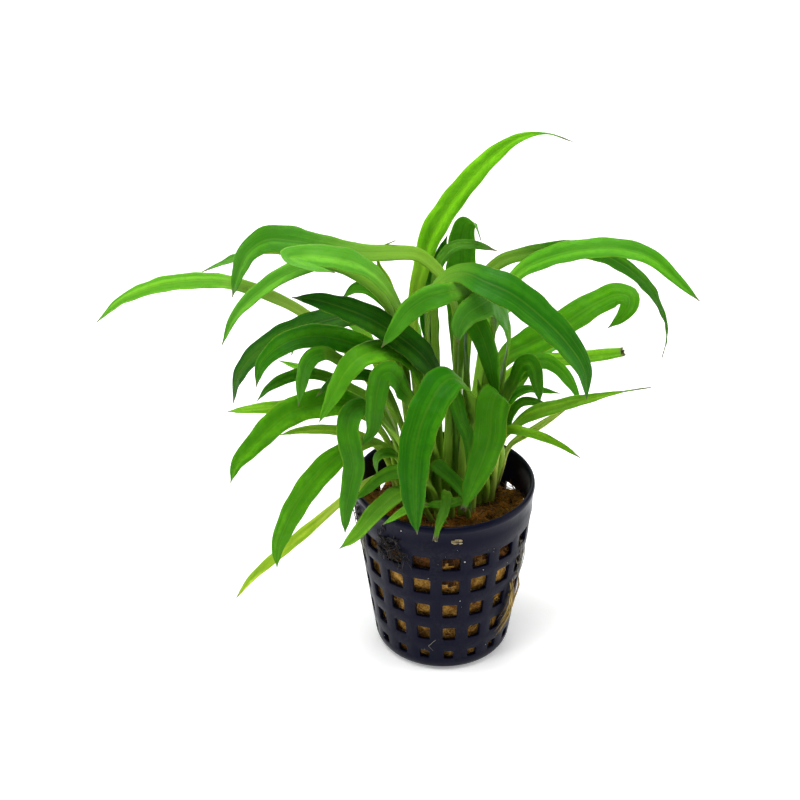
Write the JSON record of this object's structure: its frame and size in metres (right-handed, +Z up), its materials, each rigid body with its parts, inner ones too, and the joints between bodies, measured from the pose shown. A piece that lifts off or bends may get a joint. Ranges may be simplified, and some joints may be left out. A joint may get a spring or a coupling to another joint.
{
  "type": "potted cryptocoryne",
  "caption": "Aquarium cryptocoryne with arching ribbon leaves, rooted in rockwool in a small round slotted net pot.",
  "frame": {"origin": "centre of the underside of the net pot, on the surface it stands on", "axes": "+Z up along the pot's axis, -Y towards the front side of the plant, +X to the right seen from the front"},
  "size_m": [0.1697, 0.0865, 0.1545],
  "materials": {
    "leaf_back_left": "thin living leaf, satin",
    "leaf_back_middle": "thin living leaf, satin",
    "leaf_back_middle_left": "thin living leaf, satin",
    "leaf_back_middle_right": "thin living leaf, satin",
    "leaf_back_right": "thin living leaf, satin",
    "leaf_big_dark": "thin living leaf, satin",
    "leaf_centre_dark": "thin living leaf, satin",
    "leaf_centre_fold": "thin living leaf, satin",
    "leaf_centre_hanging": "thin living leaf, satin",
    "leaf_centre_light": "thin living leaf, satin",
    "leaf_centre_slant": "thin living leaf, satin",
    "leaf_centre_yellow": "thin living leaf, satin",
    "leaf_far_left": "thin living leaf, satin",
    "leaf_front_big": "thin living leaf, satin",
    "leaf_front_cross": "thin living leaf, satin",
    "leaf_front_hook": "thin living leaf, satin",
    "leaf_front_left_inner": "thin living leaf, satin",
    "leaf_front_left_light": "thin living leaf, satin",
    "leaf_front_right": "thin living leaf, satin",
    "leaf_front_slant": "thin living leaf, satin",
    "leaf_left_broad": "thin living leaf, satin",
    "leaf_left_dark": "thin living leaf, satin",
    "leaf_left_droop": "thin living leaf, satin",
    "leaf_left_folded": "thin living leaf, satin",
    "leaf_left_hanging": "thin living leaf, satin",
    "leaf_left_high": "thin living leaf, satin",
    "leaf_left_long": "thin living leaf, satin",
    "leaf_left_loop": "thin living leaf, satin",
    "leaf_left_narrow": "thin living leaf, satin",
    "leaf_left_pale": "thin living leaf, satin",
    "leaf_left_pale_low": "thin living leaf, satin",
    "leaf_left_ruffled": "thin living leaf, satin",
    "leaf_left_slim": "thin living leaf, satin",
    "leaf_left_small_dark": "thin living leaf, satin",
    "leaf_left_wavy": "thin living leaf, satin",
    "leaf_left_yellow": "thin living leaf, satin",
    "leaf_right_cut": "thin living leaf, satin",
    "leaf_right_dry": "thin living leaf, satin",
    "leaf_right_folded": "thin living leaf, satin",
    "leaf_right_hanging": "thin living leaf, satin",
    "leaf_right_inner": "thin living leaf, satin",
    "leaf_right_level": "thin living leaf, satin",
    "leaf_right_long": "thin living leaf, satin",
    "leaf_right_low": "thin living leaf, satin",
    "leaf_right_short": "thin living leaf, satin",
    "leaf_right_small": "thin living leaf, satin",
    "leaf_right_twist": "thin living leaf, satin",
    "leaf_rim_front": "thin living leaf, satin",
    "leaf_rim_left": "thin living leaf, satin",
    "leaf_rim_left_narrow": "thin living leaf, satin",
    "leaf_rim_left_upper": "thin living leaf, satin",
    "leaf_small_arch": "thin living leaf, satin",
    "leaf_tall": "thin living leaf, satin",
    "leaf_top_bent": "thin living leaf, satin",
    "leaf_top_thin": "thin living leaf, satin",
    "leaf_top_twist": "thin living leaf, satin",
    "leaf_upright_yellow": "thin living leaf, satin",
    "net_pot": "smooth moulded, very dark blue-black",
    "rockwool": "matt brown wet fibre"
  },
  "bodies": {
    "root": {"leaf_back_left": "leaf_back_left", "leaf_back_middle": "leaf_back_middle", "leaf_back_middle_left": "leaf_back_middle_left", "leaf_back_middle_right": "leaf_back_middle_right", "leaf_back_right": "leaf_back_right", "leaf_big_dark": "leaf_big_dark", "leaf_centre_dark": "leaf_centre_dark", "leaf_centre_fold": "leaf_centre_fold", "leaf_centre_hanging": "leaf_centre_hanging", "leaf_centre_light": "leaf_centre_light", "leaf_centre_slant": "leaf_centre_slant", "leaf_centre_yellow": "leaf_centre_yellow", "leaf_far_left": "leaf_far_left", "leaf_front_big": "leaf_front_big", "leaf_front_cross": "leaf_front_cross", "leaf_front_hook": "leaf_front_hook", "leaf_front_left_inner": "leaf_front_left_inner", "leaf_front_left_light": "leaf_front_left_light", "leaf_front_right": "leaf_front_right", "leaf_front_slant": "leaf_front_slant", "leaf_left_broad": "leaf_left_broad", "leaf_left_dark": "leaf_left_dark", "leaf_left_droop": "leaf_left_droop", "leaf_left_folded": "leaf_left_folded", "leaf_left_hanging": "leaf_left_hanging", "leaf_left_high": "leaf_left_high", "leaf_left_long": "leaf_left_long", "leaf_left_loop": "leaf_left_loop", "leaf_left_narrow": "leaf_left_narrow", "leaf_left_pale": "leaf_left_pale", "leaf_left_pale_low": "leaf_left_pale_low", "leaf_left_ruffled": "leaf_left_ruffled", "leaf_left_slim": "leaf_left_slim", "leaf_left_small_dark": "leaf_left_small_dark", "leaf_left_wavy": "leaf_left_wavy", "leaf_left_yellow": "leaf_left_yellow", "leaf_right_cut": "leaf_right_cut", "leaf_right_dry": "leaf_right_dry", "leaf_right_folded": "leaf_right_folded", "leaf_right_hanging": "leaf_right_hanging", "leaf_right_inner": "leaf_right_inner", "leaf_right_level": "leaf_right_level", "leaf_right_long": "leaf_right_long", "leaf_right_low": "leaf_right_low", "leaf_right_short": "leaf_right_short", "leaf_right_small": "leaf_right_small", "leaf_right_twist": "leaf_right_twist", "leaf_rim_front": "leaf_rim_front", "leaf_rim_left": "leaf_rim_left", "leaf_rim_left_narrow": "leaf_rim_left_narrow", "leaf_rim_left_upper": "leaf_rim_left_upper", "leaf_small_arch": "leaf_small_arch", "leaf_tall": "leaf_tall", "leaf_top_bent": "leaf_top_bent", "leaf_top_thin": "leaf_top_thin", "leaf_top_twist": "leaf_top_twist", "leaf_upright_yellow": "leaf_upright_yellow", "net_pot": "net_pot", "rockwool": "rockwool"}
  },
  "joints": []
}
